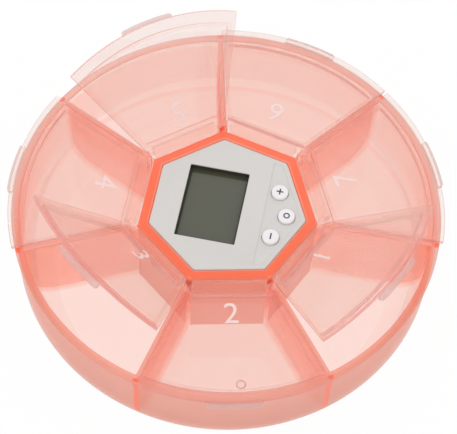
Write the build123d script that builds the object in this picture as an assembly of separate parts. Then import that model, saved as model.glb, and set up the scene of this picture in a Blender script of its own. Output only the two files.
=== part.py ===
from build123d import *
import os
from math import cos, radians, sin, sqrt, tan

# Round weekly pill box: a one-piece tray with seven compartments, seven hinged lids round a seven-sided
# hub, and a reminder timer that drops into the hub. Millimetres, +Z up, origin at the centre of the
# underside, compartment 2 towards -Y.

# ---------------------------------------------------------------- driving dimensions
DAYS = 7
SECTOR = 360 / DAYS
HALF = SECTOR / 2
T_HALF = tan(radians(HALF))
C_HALF = cos(radians(HALF))
FRONT_DAY = 2                  # the compartment that faces -Y
LID_OPEN = {1: 33.0, 2: 0.0, 3: 42.5, 4: 0.0, 5: 45.0, 6: 0.0, 7: 0.0}   # degrees above closed

# tray
TRAY_H = 27.0                  # wall and partition tops
WALL_R = 57.9                  # outer wall under the lip
WALL_LOW_R = 57.6              # outer wall where the round of the bottom edge starts
LIP_R = 58.6
LIP_H = 1.6
WALL = 1.5                     # wall and floor thickness
BOTTOM_ROUND = 9.7
PARTITION = 1.5
HUB_H = 27.4
HUB_OUT = 22.6                 # apothems, centre to flat, of the hub wall
HUB_IN = 19.95
HUB_ROUND = 0.8
SEAT_Z = 13.0                  # ribs that carry the timer
SEAT_RIB = (17.4, 20.4, 1.6)   # apothem from, to, width
MARK = (41.5, -85.4, 1.4, 1.0, 0.2)   # ejector ring: distance, bearing, radii, height

# lid hinge
AXIS_A = 24.8                  # apothem of a hinge axis
AXIS_Z = 26.4
ROLL_R = 2.0                   # rounded inner edge of a lid, concentric with its hinge
ROLL_HALF = 9.6                # half its length
ROLL_BORE = 0.9
CHEEK = 1.0                    # solid ends of the roll
PIN_R = 0.5
PIN_END = 11.35
FIT = 0.05                     # radial running clearance of a pin
POST = (26.7, 28.6, 2.2, 22.5) # hinge post: radii from, to, thickness, underside
SNAP_NECK = 0.42               # half the mouth that a pin snaps through
HINGE_DIP = 26.2               # partition top between the hub and a post

# lids
LID_R = 59.5
LID_T = 1.2
LID_GAP = 0.45                 # lid edge to the line between two compartments
CORNER = (1.0, 1.8)            # cut off the two corners at the hinge: across, along
RIB = (1.25, 0.9, 1.4)         # rim rib: from the compartment line, thickness, height
RIB_R = 56.0
RIB_START = 2.4                # from the hinge axis
TAB_R = 60.3
TAB_IN = 58.8                  # inner face, outside the tray's lip
TAB_W = 15.0
TAB_T = 1.7
TAB_DROP = 2.6                 # foot of the tab below the lid's top face
TAB_ROUND = 0.8
LID_EDGE = 0.3                 # chamfer of the top edges

# reminder timer, in its own axes: X along the display, Y up the display
TIMER_TURN = 90 - SECTOR / 4   # bearing of the display's width
FACE_A = 19.75
FACE_Z = 27.4
FACE_T = 1.6
FACE_ROUND = 1.0
FACE_EDGE = 0.3
SPLIT_Z = 19.5                 # joint between face and back case
CASE_WALL = 1.2
CASE_ROUND = 0.5               # inside corners
BACK_A = 19.4
BACK_T = 1.2
WINDOW = (23.1, 16.5)
WINDOW_Y = 4.05
KEYS = {"button_plus": (7.25, -13.4), "button_set": (0.0, -16.5), "button_minus": (-7.25, -13.4)}
KEY_R = 2.3
KEY_HOLE = 2.42
KEY_PROUD = 0.7
KEY_FLANGE = (3.0, 0.6)
KEY_STEM_R = 1.0
KEY_ROUND = 0.35
KEY_FREE = 0.1                 # flange below the face
KEYPAD_Y = -10.2               # straight edge of the sunk keypad
KEYPAD_INSET = 1.3
KEYPAD_DEEP = 0.35

# inside the timer
LCD = (24.8, 18.7, 2.0)
LCD_Y = 3.95
BOARD_A = 17.9
BOARD_T = 1.2
BOARD_TOP = 21.5
HOLDER_WALL = 1.2
ZEBRA = (21.0, 1.8)
ZEBRA_FREE = 0.1
SWITCH = (4.4, 1.6)
PLUNGER = (0.9, 0.4)
STEM_GAP = 0.45                # key stem above its switch, more than the key's travel
BOARD_ROUND = 1.0
BLOB = (-9.0, -10.0, 3.5, 1.0, 0.8)        # x, y, radius, height, rounding
CRYSTAL = (10.5, -10.0, 1.0, 6.0, 35, 0.3) # x, y, radius, length, turn, rounding
SCREWS = ((0.0, 16.1), (15.1, -5.5), (-15.1, -5.5))
SCREW_R = 0.8
SCREW_HEAD = (1.5, 1.1)
SCREW_TIP = 25.2
SCREW_FREE = 0.15              # clearance round a screw and its head
SCREW_CROSS = (1.1, 0.2, 0.35) # recess in the head: half length, half width, depth
BOSS_R = 1.9
BAY_Y = 2.6
CELL = (10.0, 3.2)
CELL_CAP = (1.2, 0.5, 0.4)     # cap's step inwards and down, rounding of the can
CELL_Z = 14.7
BAY_R = 10.6
BAY_TOP = 18.9
BAY_ROOF = 0.7
BUZZER = (5.6, 7.5, 5.25, 0.4) # y, radii of disc and ceramic, thickness of each
CONTACT = (3.0, 0.25)
CONTACT_FREE = 0.2
LEAF_X = 6.0                   # half length of the leaf, and where its leg stands
LEAF_Y = -6.5
DOOR_R = 11.3
DOOR_T = 1.25
DOOR_FIT = 0.08
DOOR_SUNK = 0.05
LUG = (12.3, 24.0, 0.6)        # outer radius, degrees, thickness
LUG_TURNS = (0, 120, 240)
LUG_EASE = 3.0                 # extra width of an entry slot, degrees
GROOVE_Z = 13.6
GROOVE_TOP = 14.35
RING_TOP = 15.4
DOOR_TURN = 40.0               # degrees to unlock the door
COIN_SLOT = (11.0, 1.6, 0.6)
SOUND_HOLES = ((-13.2, 6.0), (-13.2, 9.0), (-13.2, 3.0))
SOUND_HOLE_R = 0.6
EPS = 0.3                      # overlap of pieces that are fused


# ---------------------------------------------------------------- helpers
def bearing(day):
    """Direction of a compartment's middle line, in degrees from +X."""
    return -90 + (FRONT_DAY - day) * SECTOR


def heptagon(apothem, z0, z1, point=90, rounding=0.0):
    """Seven-sided prism with one corner at the bearing `point`."""
    outline = RegularPolygon(apothem, DAYS, major_radius=False, rotation=point)
    if rounding:
        outline = fillet(outline.vertices(), rounding)
    return Pos(0, 0, z0) * extrude(outline, z1 - z0)


def block(x0, x1, y0, y1, z0, z1):
    return Pos(x0, y0, z0) * Box(x1 - x0, y1 - y0, z1 - z0, align=(Align.MIN, Align.MIN, Align.MIN))


def post(x, y, r, z0, z1):
    """Upright cylinder."""
    return Pos(x, y, z0) * Cylinder(r, z1 - z0, align=(Align.CENTER, Align.CENTER, Align.MIN))


def crossbar(r, y0, y1):
    """Cylinder along Y, on the hinge axis."""
    return Pos(0, (y0 + y1) / 2, 0) * Rot(90, 0, 0) * Cylinder(r, y1 - y0)


def bowl(r_low, r_top, rounding, z0, z1):
    """Solid cup shape whose bottom edge is a quarter round."""
    flat = r_low - rounding
    spring = z0 + rounding
    lower = Line((0, z0), (flat, z0))
    corner = CenterArc((flat, spring), rounding, -90, 90)
    upper = Polyline((r_low, spring), (r_top, z1), (0, z1), (0, z0))
    return revolve(Plane.XZ * make_face(lower + corner + upper), Axis.Z)


def sector(offset, r, x0):
    """Flat outline over one compartment in hinge axes: sides `offset` from the compartment lines, outer
    arc of radius r about the box's centre, inner side at x0."""
    e = offset / C_HALF
    k = 1 + T_HALF ** 2
    a = (T_HALF * e + sqrt((T_HALF * e) ** 2 - k * (e ** 2 - r ** 2))) / k
    y0 = T_HALF * (AXIS_A + x0) - e
    y1 = T_HALF * a - e
    x1 = a - AXIS_A
    side = Polyline((x1, -y1), (x0, -y0), (x0, y0), (x1, y1))
    arc = ThreePointArc((x1, y1), (r - AXIS_A, 0), (x1, -y1))
    return make_face(side + arc)


def on_hinge(day):
    """Hinge axes of a lid: X outwards, Y along the hinge, Z up."""
    return Rot(0, 0, bearing(day)) * Pos(AXIS_A, 0, AXIS_Z)


def in_timer(shape):
    return Rot(0, 0, TIMER_TURN) * shape


# ---------------------------------------------------------------- tray
def tray_shell():
    """Round bowl with a thin lip at its rim."""
    outside = bowl(WALL_LOW_R, WALL_R, BOTTOM_ROUND, 0, TRAY_H)
    lip = post(0, 0, LIP_R, TRAY_H - LIP_H, TRAY_H)
    inside = bowl(WALL_LOW_R - WALL, WALL_R - WALL, BOTTOM_ROUND - WALL, WALL, TRAY_H + 1)
    return outside, outside + lip - inside


def partition(bar):
    """Radial wall, low beside the hub where open lids stand, with the post that holds their pins."""
    r0, r1, thick, z0 = POST
    wall = block(HUB_OUT, WALL_R - EPS, -PARTITION / 2, PARTITION / 2, WALL - EPS, HINGE_DIP)
    wall += block(r0, WALL_R - EPS, -PARTITION / 2, PARTITION / 2, HINGE_DIP - EPS, TRAY_H)
    return wall + block(r0, r1, -thick / 2, thick / 2, z0, TRAY_H) & bar


def pin_sockets():
    """Round seats, open upwards through a narrower mouth, at both ends of a hinge."""
    seats = []
    for way in (1, -1):
        y0, y1 = sorted((way * ROLL_HALF, way * (PIN_END + 0.1)))
        seats.append(crossbar(PIN_R + FIT, y0, y1))
        seats.append(block(-SNAP_NECK, SNAP_NECK, y0, y1, 0, TRAY_H - AXIS_Z + EPS))
    return Part() + seats


def tray():
    outside, body = tray_shell()
    hub = heptagon(HUB_OUT, WALL - EPS, HUB_H, rounding=HUB_ROUND)
    well = heptagon(HUB_IN, WALL, HUB_H + 1, rounding=HUB_ROUND)
    partitions = [Rot(0, 0, 90 + i * SECTOR) * partition(outside) for i in range(DAYS)]
    a0, a1, width = SEAT_RIB
    ribs = [
        Rot(0, 0, bearing(day)) * block(a0, a1, -width / 2, width / 2, WALL - EPS, SEAT_Z)
        for day in range(1, DAYS + 1)
    ]
    body = body + partitions + hub - well + ribs
    body -= [on_hinge(day) * pin_sockets() for day in range(1, DAYS + 1)]
    far, turn, r_out, r_in, high = MARK
    ring = post(far, 0, r_out, WALL - EPS, WALL + high) - post(far, 0, r_in, WALL - 1, WALL + 1)
    return body + Rot(0, 0, turn) * ring


# ---------------------------------------------------------------- lids
def lid_plate():
    """Flat top with clipped corners at the hinge and chamfered top edges."""
    across, along = CORNER
    y0 = T_HALF * AXIS_A - LID_GAP / C_HALF
    outline = sector(LID_GAP, LID_R, 0)
    side_y = y0 + T_HALF * along + 0.01
    for way in (1, -1):
        corner = [(-1, y0 - across), (0, y0 - across), (along, side_y), (-1, side_y), (-1, y0 - across)]
        outline -= make_face(Polyline([(x, way * y) for x, y in corner]))
    plate = Pos(0, 0, ROLL_R - LID_T) * extrude(outline, LID_T)
    top = plate.faces().sort_by(Axis.Z)[-1]
    outer = top.edges().filter_by(GeomType.CIRCLE)
    sides = top.edges().filter_by(GeomType.LINE).sort_by(SortBy.LENGTH)[-2:]
    return chamfer(outer + sides, LID_EDGE)


def lid_tab():
    """Thumb tab under the plate's outer edge."""
    centre = Pos(-AXIS_A, 0)
    band = centre * Circle(TAB_R) - centre * Circle(TAB_IN)
    band &= Pos(TAB_R - AXIS_A, 0) * Rectangle(8, TAB_W)
    band = fillet(band.vertices().sort_by(Axis.X)[-2:], TAB_ROUND)
    return Pos(0, 0, ROLL_R - TAB_DROP) * extrude(band, TAB_T)


def lid_rib():
    """Upstand under the lid that drops just inside its compartment."""
    offset, thick, high = RIB
    ring = sector(offset, RIB_R, RIB_START) - sector(offset + thick, RIB_R - thick, RIB_START + thick)
    return Pos(0, 0, ROLL_R - LID_T - high) * extrude(ring, high + EPS)


def lid_roll():
    """Rounded inner edge with a pin at each end."""
    roll = crossbar(ROLL_R, -ROLL_HALF, ROLL_HALF)
    y = ROLL_HALF - CHEEK
    roll -= crossbar(ROLL_BORE, -y, y)
    roll -= block(0, ROLL_R + 1, -y, y, -ROLL_R - 1, 0)
    return roll + crossbar(PIN_R, -PIN_END, 1 - ROLL_HALF) + crossbar(PIN_R, ROLL_HALF - 1, PIN_END)


def lid_closed():
    return lid_plate() + lid_tab() + lid_rib() + lid_roll()


def lid(day, closed):
    """A lid at the angle where it stands open."""
    return on_hinge(day) * Rot(0, -LID_OPEN[day], 0) * closed


# ---------------------------------------------------------------- timer casing
def keypad_recess():
    """Sunk field round the three keys, parallel to the two sides that meet at the corner."""
    field = heptagon(FACE_A - KEYPAD_INSET, FACE_Z - KEYPAD_DEEP, FACE_Z + 1, point=-90, rounding=FACE_ROUND)
    return field & block(-HUB_IN, HUB_IN, -2 * HUB_IN, KEYPAD_Y, SPLIT_Z, FACE_Z + 1)


def timer_face():
    """White front with the display window, keypad and screw bosses."""
    under = FACE_Z - FACE_T
    body = heptagon(FACE_A, SPLIT_Z, FACE_Z, point=-90, rounding=FACE_ROUND)
    body = fillet(body.faces().sort_by(Axis.Z)[-1].edges(), FACE_EDGE)
    body -= heptagon(FACE_A - CASE_WALL, SPLIT_Z - 1, under, point=-90, rounding=CASE_ROUND)
    half_w, half_h = WINDOW[0] / 2, WINDOW[1] / 2
    body -= Pos(0, WINDOW_Y, 0) * block(-half_w, half_w, -half_h, half_h, SPLIT_Z, FACE_Z + 1)
    body -= keypad_recess()
    body -= [post(x, y, KEY_HOLE, SPLIT_Z, FACE_Z + 1) for x, y in KEYS.values()]
    for x, y in SCREWS:
        body += post(x, y, BOSS_R, BOARD_TOP, under + EPS)
        body -= post(x, y, SCREW_R, BOARD_TOP - 1, SCREW_TIP + SCREW_FREE)
    return in_timer(body)


def bay_hollow():
    """Cell bay with the bayonet groove under it and three entry slots through the groove's ledge."""
    hollow = post(0, 0, BAY_R, SEAT_Z - 1, BAY_TOP - BAY_ROOF)
    hollow += post(0, 0, DOOR_R + DOOR_FIT, SEAT_Z - 1, GROOVE_TOP)
    hollow += post(0, 0, LUG[0] + DOOR_FIT, GROOVE_Z, GROOVE_TOP)
    entry = LUG[1] + LUG_EASE
    for turn in LUG_TURNS:
        hollow += Rot(0, 0, turn + DOOR_TURN) * lug_wedge(LUG[0] + DOOR_FIT, entry, SEAT_Z - 1, GROOVE_TOP)
    return hollow


def lug_wedge(r, degrees, z0, z1):
    """Slice of a disc, centred on the local X axis."""
    reach = 2 * r
    half = radians(degrees / 2)
    across, up = reach * cos(half), reach * sin(half)
    tip = make_face(Polyline((0, 0), (across, -up), (across, up), (0, 0)))
    return Pos(0, 0, z0) * extrude(Circle(r) & tip, z1 - z0)


def timer_back_case():
    """Back shell with the battery bay, door ring and screw bosses."""
    body = heptagon(BACK_A, SEAT_Z, SPLIT_Z, point=-90, rounding=FACE_ROUND)
    body -= heptagon(BACK_A - CASE_WALL, SEAT_Z + BACK_T, SPLIT_Z + 1, point=-90, rounding=CASE_ROUND)
    body += [post(x, y, BOSS_R, SEAT_Z, BOARD_TOP - BOARD_T) for x, y in SCREWS]
    body += post(0, BAY_Y, BAY_R + CASE_WALL, SEAT_Z, BAY_TOP)
    body += post(0, BAY_Y, LUG[0] + CASE_WALL, SEAT_Z, RING_TOP)
    body -= Pos(0, BAY_Y, 0) * bay_hollow()
    width, thick = CONTACT
    slot = width / 2 + CONTACT_FREE
    wall_y = BAY_Y - BAY_R
    body -= block(-slot, slot, wall_y - 2 * CASE_WALL, wall_y + 1, RING_TOP, BAY_TOP + 1)
    leg = block(-CONTACT_FREE, thick + CONTACT_FREE, -slot, slot, BAY_TOP - 2, BAY_TOP + 1)
    body -= Pos(LEAF_X, BAY_Y + LEAF_Y, 0) * leg
    head_r, head_t = SCREW_HEAD
    for x, y in SCREWS:
        body -= post(x, y, SCREW_R + SCREW_FREE, SEAT_Z - 1, BOARD_TOP)
        body -= post(x, y, head_r + SCREW_FREE, SEAT_Z - 1, SEAT_Z + head_t + SCREW_FREE)
    body -= [post(x, y, SOUND_HOLE_R, SEAT_Z - 1, SEAT_Z + BACK_T + EPS) for x, y in SOUND_HOLES]
    return in_timer(body)


def battery_door():
    """Quarter-turn round door with three lugs and a coin slot."""
    underside = SEAT_Z + DOOR_SUNK
    disc = post(0, 0, DOOR_R, underside, underside + DOOR_T)
    z0 = GROOVE_Z + DOOR_FIT
    disc += [Rot(0, 0, turn) * lug_wedge(LUG[0], LUG[1], z0, z0 + LUG[2]) for turn in LUG_TURNS]
    long, wide, deep = COIN_SLOT
    disc -= block(-long / 2, long / 2, -wide / 2, wide / 2, SEAT_Z - 1, underside + deep)
    return in_timer(Pos(0, BAY_Y, 0) * disc)


def button(name):
    """Round key with a retaining flange and a stem over its switch."""
    x, y = KEYS[name]
    flange_r, flange_t = KEY_FLANGE
    flange_top = FACE_Z - FACE_T - KEY_FREE
    cap = post(0, 0, KEY_R, flange_top - flange_t, FACE_Z + KEY_PROUD)
    cap = fillet(cap.faces().sort_by(Axis.Z)[-1].edges(), KEY_ROUND)
    stem_z = BOARD_TOP + SWITCH[1] + PLUNGER[1] + STEM_GAP
    cap += post(0, 0, flange_r, flange_top - flange_t, flange_top)
    cap += post(0, 0, KEY_STEM_R, stem_z, flange_top)
    return in_timer(Pos(x, y, 0) * cap)


# ---------------------------------------------------------------- timer works
def lcd_glass():
    w, h, t = LCD
    top = FACE_Z - FACE_T
    return in_timer(Pos(0, LCD_Y, 0) * block(-w / 2, w / 2, -h / 2, h / 2, top - t, top))


def lcd_holder():
    """Frame between the board and the display."""
    w, h, t = LCD
    z1 = FACE_Z - FACE_T - t
    k = HOLDER_WALL
    frame = block(-w / 2, w / 2, -h / 2, h / 2, BOARD_TOP, z1)
    frame -= block(-w / 2 + k, w / 2 - k, -h / 2 + k, h / 2 - k, BOARD_TOP - 1, z1 + 1)
    return in_timer(Pos(0, LCD_Y, 0) * frame)


def zebra_strip():
    """Rubber contact strip between the board and the display."""
    w, t = ZEBRA
    y = LCD_Y - LCD[1] / 2 + HOLDER_WALL + ZEBRA_FREE
    return in_timer(block(-w / 2, w / 2, y, y + t, BOARD_TOP, FACE_Z - FACE_T - LCD[2]))


def circuit_board():
    board = heptagon(BOARD_A, BOARD_TOP - BOARD_T, BOARD_TOP, point=-90, rounding=BOARD_ROUND)
    board -= [post(x, y, SCREW_R + SCREW_FREE, BOARD_TOP - 3, BOARD_TOP + 1) for x, y in SCREWS]
    return in_timer(board)


def switches():
    """Three tact switches on the board, one under each key."""
    side, high = SWITCH
    r, rise = PLUNGER
    parts = []
    for x, y in KEYS.values():
        body = block(x - side / 2, x + side / 2, y - side / 2, y + side / 2, BOARD_TOP, BOARD_TOP + high)
        parts.append(in_timer(body + post(x, y, r, BOARD_TOP + high - EPS, BOARD_TOP + high + rise)))
    return Compound(children=parts)


def chip_blob():
    x, y, r, t, rounding = BLOB
    z1 = BOARD_TOP - BOARD_T
    blob = post(x, y, r, z1 - t, z1)
    return in_timer(fillet(blob.faces().sort_by(Axis.Z)[0].edges(), rounding))


def quartz_crystal():
    x, y, r, long, turn, rounding = CRYSTAL
    can = Rot(90, 0, turn) * Cylinder(r, long)
    return in_timer(Pos(x, y, BOARD_TOP - BOARD_T - r) * fillet(can.edges(), rounding))


def piezo_buzzer():
    """Sounder disc with its smaller ceramic face, glued on the battery bay."""
    y, r, ceramic_r, t = BUZZER
    disc = post(0, 0, r, BAY_TOP, BAY_TOP + t) + post(0, 0, ceramic_r, BAY_TOP, BAY_TOP + 2 * t)
    return in_timer(Pos(0, y, 0) * disc)


def coin_cell():
    """Button cell: wide can below, smaller cap above."""
    r, t = CELL
    step_in, step_down, rounding = CELL_CAP
    can = post(0, 0, r, CELL_Z, CELL_Z + t - step_down)
    can = fillet(can.faces().sort_by(Axis.Z)[0].edges(), rounding)
    return in_timer(Pos(0, BAY_Y, 0) * (can + post(0, 0, r - step_in, CELL_Z + 1, CELL_Z + t)))


def battery_contact_positive():
    """Strip beside the cell, up to the board."""
    width, t = CONTACT
    y = BAY_Y - BAY_R + CONTACT_FREE
    leg = block(-width / 2, width / 2, y, y + t, RING_TOP + CONTACT_FREE, BOARD_TOP - BOARD_T)
    return in_timer(leg)


def battery_contact_negative():
    """Leaf over the cell's cap with a leg up to the board."""
    width, t = CONTACT
    z1 = BAY_TOP - BAY_ROOF
    leaf = block(-LEAF_X, LEAF_X + t, -width / 2, width / 2, z1 - t, z1)
    leaf += block(LEAF_X, LEAF_X + t, -width / 2, width / 2, z1 - t, BOARD_TOP - BOARD_T)
    return in_timer(Pos(0, BAY_Y + LEAF_Y, 0) * leaf)


def case_screws():
    """Three screws through the back case and the board into the face."""
    head_r, head_t = SCREW_HEAD
    z0 = SEAT_Z + SCREW_FREE
    long, wide, deep = SCREW_CROSS
    screws = []
    for x, y in SCREWS:
        screw = post(x, y, head_r, z0, z0 + head_t) + post(x, y, SCREW_R, z0, SCREW_TIP)
        screw -= block(x - long, x + long, y - wide, y + wide, z0 - 1, z0 + deep)
        screw -= block(x - wide, x + wide, y - long, y + long, z0 - 1, z0 + deep)
        screws.append(in_timer(screw))
    return Compound(children=screws)


# ---------------------------------------------------------------- nodes
def nodes():
    made = {"tray": tray()}
    closed = lid_closed()
    for day in range(1, DAYS + 1):
        made[f"lid_{day}"] = lid(day, closed)
    for maker in (
        timer_face, timer_back_case, battery_door, lcd_glass, lcd_holder, zebra_strip, circuit_board,
        switches, chip_blob, quartz_crystal, piezo_buzzer, coin_cell, battery_contact_positive,
        battery_contact_negative, case_screws,
    ):
        made[maker.__name__] = maker()
    for name in KEYS:
        made[name] = button(name)
    return made


if __name__ == "__main__":
    os.makedirs("parts", exist_ok=True)
    for node, shape in nodes().items():
        export_step(shape, f"parts/{node}.step")
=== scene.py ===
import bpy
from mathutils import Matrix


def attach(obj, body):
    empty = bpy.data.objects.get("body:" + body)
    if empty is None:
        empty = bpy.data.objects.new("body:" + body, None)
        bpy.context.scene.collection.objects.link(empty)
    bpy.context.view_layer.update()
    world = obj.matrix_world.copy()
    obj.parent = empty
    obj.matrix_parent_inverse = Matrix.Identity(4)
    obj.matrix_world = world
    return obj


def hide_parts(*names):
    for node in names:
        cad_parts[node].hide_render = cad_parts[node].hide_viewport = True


bl_info = {
    "name": "Weekly pill box with reminder timer",
    "version": (1, 0, 0),
    "blender": (4, 5, 0),
    "location": "View3D > Sidebar > Pill box",
    "description": "Models and dresses the visible pieces of the packed pill box",
    "category": "Add Mesh",
}

from math import asin, atan2, cos, degrees, pi, radians, sin, sqrt, tan

import bpy
from bpy.props import FloatProperty, FloatVectorProperty, PointerProperty
from mathutils import Matrix, Vector

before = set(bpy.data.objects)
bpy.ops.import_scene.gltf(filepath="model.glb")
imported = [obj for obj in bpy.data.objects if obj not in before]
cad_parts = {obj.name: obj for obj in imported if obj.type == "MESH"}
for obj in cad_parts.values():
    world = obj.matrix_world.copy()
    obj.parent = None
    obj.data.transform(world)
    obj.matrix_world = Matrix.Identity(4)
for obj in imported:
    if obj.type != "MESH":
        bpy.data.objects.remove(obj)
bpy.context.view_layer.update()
MM = 0.001

# ---------------------------------------------------------------- sizes, in mm
DAYS = 7
SECTOR = 360 / DAYS
HALF = radians(SECTOR / 2)
T_HALF = tan(HALF)
C_HALF = cos(HALF)
LID_OPEN = {1: 33.0, 2: 0.0, 3: 42.5, 4: 0.0, 5: 45.0, 6: 0.0, 7: 0.0}
ROUND_STEPS = 168              # sides of every large circle, a multiple of seven

TRAY_H = 27.0
FLOOR = 1.5
FOOT_ROUND = 9.7
BOWL_R = 57.6
MOUTH_R = 56.4                 # inside of the outer wall, at its top
LIP_R = 58.6
LIP_Z = 25.4                   # underside of the lip
HUB_H = 27.4
HUB_OUT = 22.6                 # hub's wall, from the middle to a side
HUB_IN = 19.95
HUB_ROUND = 0.8                # its upright corners
PARTITION = 1.5
POCKET = (40.0, 17.0)          # middle and half length of a compartment's mouth
MIDWAY = 90 + SECTOR / 2       # bearing of a compartment's middle
SEAT = (17.4, 20.4, 0.8, 13.0)         # under the timer: two radii, half width, top
POST = (26.7, 28.6, 1.1, 22.5)         # hinge post on a partition: two radii, half width, foot
DIP = (1.3, 26.2)                      # in a partition between hub and post: half width, floor
MARK = Vector((3.33, -41.37))  # ring left by an ejector pin on the floor of compartment 2

AXIS_A = 24.8                  # hinge axis: distance from the middle, and height
AXIS_Z = 26.4
PIN_R = 0.5
PIN_END = 11.35
PIN_HOLE = (0.55, 10.6, 11.45)         # radius, and where it starts and ends along the axis
PIN_MOUTH = 0.42                       # half width of the slot that a pin is pressed in through
ROLL = (2.0, 9.6)                      # radius and half length of a lid's inner edge
PLATE = (0.8, 2.0)             # underside and top of a lid's plate, above its hinge axis
LID_GAP = 0.45
LID_R = 59.5
RIB = (1.25, 56.0, 2.4, 0.9, -0.6)     # under a lid: gap to the sides, radius, inner end, thickness, foot
TAB = (58.8, 60.3, 15.0, -0.6, 1.12)   # radii, width, foot and top above the hinge axis
TAB_ROUND = 0.8

TIMER_TURN = 90 - SECTOR / 4
FACE_A = 19.75
FACE_Z = 27.4
FACE_T = 1.6
FACE_WALL = 1.2
SPLIT_Z = 19.5                 # where the front meets the back case
WINDOW = (23.1, 16.5, 4.05)    # width, height, middle
LCD = (24.8, 18.7, 2.0, 3.95)  # width, height, thickness, middle
KEYPAD_Y = -10.2
KEYPAD_A = 18.45
SCREWS = ((0.0, 16.1), (15.1, -5.5), (-15.1, -5.5))
BOSS = (1.9, 21.5)             # radius and foot of a screw's boss
SCREW_HOLE = (0.8, 25.35)      # radius and end
KEYS = {"button_plus": (7.25, -13.4), "button_set": (0.0, -16.5), "button_minus": (-7.25, -13.4)}
KEY_R = 2.3
KEY_TOP = 28.1
KEY_HOLE_R = 2.42
KEY_FLANGE = (3.0, 25.1, 25.7)         # radius, foot and top of the ring that holds a key in
SIGN = (1.9, 0.38)             # length and width of a stroke on a key


def bearing(day):
    return -90 + (2 - day) * SECTOR


# ---------------------------------------------------------------- properties
def linear(code):
    """Linear colour of an sRGB hex value."""
    channels = [int(code[i:i + 2], 16) / 255 for i in (1, 3, 5)]
    return [c / 12.92 if c <= 0.04045 else ((c + 0.055) / 1.055) ** 2.4 for c in channels] + [1.0]


def colour(name, text, code):
    return FloatVectorProperty(name=name, description=text, default=linear(code), size=4, min=0.0, max=1.0,
                               subtype="COLOR")


def length(name, text, mm):
    return FloatProperty(name=name, description=text, default=mm * MM, min=0.0, precision=5,
                         subtype="DISTANCE", unit="LENGTH")


def share(name, text, default, top=1.0):
    return FloatProperty(name=name, description=text, default=default, min=0.0, max=top, subtype="FACTOR")


class PillBoxSizes(bpy.types.PropertyGroup):
    wall_round: length("Wall tops", "Rounding of the tops of the tray's walls", 0.25)
    hub_round: length("Hub top", "Rounding of the top of the hub's wall", 0.5)
    lid_round: length("Lid edges", "Rounding of the edges of a lid's plate", 0.3)
    numeral: length("Numeral", "Size of the day numbers", 8.6)
    numeral_place: length("Numeral place", "From a lid's hinge to the middle of its number", 9.2)
    face_round: length("Timer edge", "Rounding of the timer's top edge", 0.35)
    window_round: length("Window edge", "Rounding of the display window's edge", 0.25)
    keypad_depth: length("Keypad", "How far the keypad is sunk into the face", 0.2)
    key_round: length("Key edge", "Rounding of a key's top edge", 0.35)
    # The strip round the display is painted shade: a dark strip laid where the window's edge falls into shade.
    gasket: length("Gasket", "Thickness of the foam strip round the display", 0.1)


class PillBoxFinish(bpy.types.PropertyGroup):
    tray_skin: colour("Tray", "Colour that light takes on at each level face of the tray", "#FFF3F0")
    wall_skin: colour("Tray walls", "Colour that light takes on at each face of the tray's partitions", "#FFEDE9")
    tray_milk: colour("Tray haze", "Colour of light scattered by the tray's plastic", "#FFB8A8")
    tray_depth: colour("Tray depth", "Colour that thick parts of the tray take on", "#FF8400")
    # The next seven colours are painted glow: opaque colours laid on the tray's wall tops, their rounded corners, the
    # hub's wall and the outer wall in place of the light that the clear plastic gathers in its thick parts; most of
    # them are also darkened towards the foot and lightened a little at the top as painted shade.
    hub_edge: colour("Hub top", "Colour of the top of the hub's wall", "#FF6F49")
    hub_corner: colour("Hub corners", "Colour of the rounded corners of the hub's top", "#FF9375")
    hub_wall: colour("Hub wall", "Colour of the hub's wall as the compartments show it", "#FFB8A4")
    partition_edge: colour("Partition tops", "Colour of the tops of the partitions", "#F7AC9B")
    corner: colour("Wall corners", "Colour of the rounded corners along the tops of the walls", "#EE9583")
    tray_edge: colour("Wall top", "Colour of the top of the tray's outer wall", "#F39682")
    tray_lip: colour("Tray lip", "Colour of the tray's lip and outer wall", "#E49985")
    haze: share("Haze", "Share of light that the tray's inside scatters", 0.015)
    wall_haze: share("Outer wall haze", "Share of light that the tray's outer wall scatters", 0.03)
    lid_skin: colour("Lids", "Colour that light takes on at each face of a lid", "#FFFCFB")
    lid_milk: colour("Lid haze", "Colour of light scattered by the lids' plastic", "#FFF3F2")
    lid_depth: colour("Lid depth", "Colour that thick parts of a lid take on", "#FF8900")
    # The next two colours are painted glow: opaque colours laid on a lid's cut edges and over its thumb tab in place of
    # the light that the clear plastic gathers there.
    lid_edge: colour("Lid edges", "Colour of the cut edges of a lid", "#F28C84")
    lid_tab: colour("Thumb tabs", "Colour of a lid's thumb tab", "#D9B4B0")
    lid_haze: share("Lid haze share", "Share of light that the lids' plastic scatters", 0.09)
    ink: colour("Day numbers", "Ink of the day numbers", "#F4D9D5")
    face: colour("Timer", "Moulded shell of the timer", "#D6D4D1")
    key: colour("Keys", "Moulded keys", "#EFEEEF")
    sign: colour("Key signs", "Ink of the signs on the keys", "#3A3F55")
    display: colour("Display", "Display with nothing shown", "#424430")
    # Colour of the dark strip of painted shade round the display.
    gasket: colour("Gasket", "Foam strip round the display", "#352B27")
    board: colour("Board", "Solder mask of the circuit board", "#2E5B3A")


# ---------------------------------------------------------------- modelling
def deselect():
    bpy.ops.object.select_all(action="DESELECT")


def activate(obj):
    deselect()
    obj.select_set(True)
    bpy.context.view_layer.objects.active = obj


def extrude_levels(levels, z, middle):
    """Extrudes the selected face upwards through (height, scale) levels, in mm, from height z."""
    x, y = middle
    before = (1.0, 1.0)
    for level, scale in levels:
        wanted = scale if isinstance(scale, tuple) else (scale, scale)
        bpy.ops.mesh.extrude_region_move(TRANSFORM_OT_translate={"value": (0, 0, (level - z) * MM)})
        step = (wanted[0] / before[0], wanted[1] / before[1], 1)
        bpy.ops.transform.resize(value=step, center_override=(x * MM, y * MM, 0))
        z, before = level, wanted


def close_shell():
    bpy.ops.mesh.select_all(action="SELECT")
    bpy.ops.mesh.normals_make_consistent(inside=False)
    bpy.ops.object.mode_set(mode="OBJECT")


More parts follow.
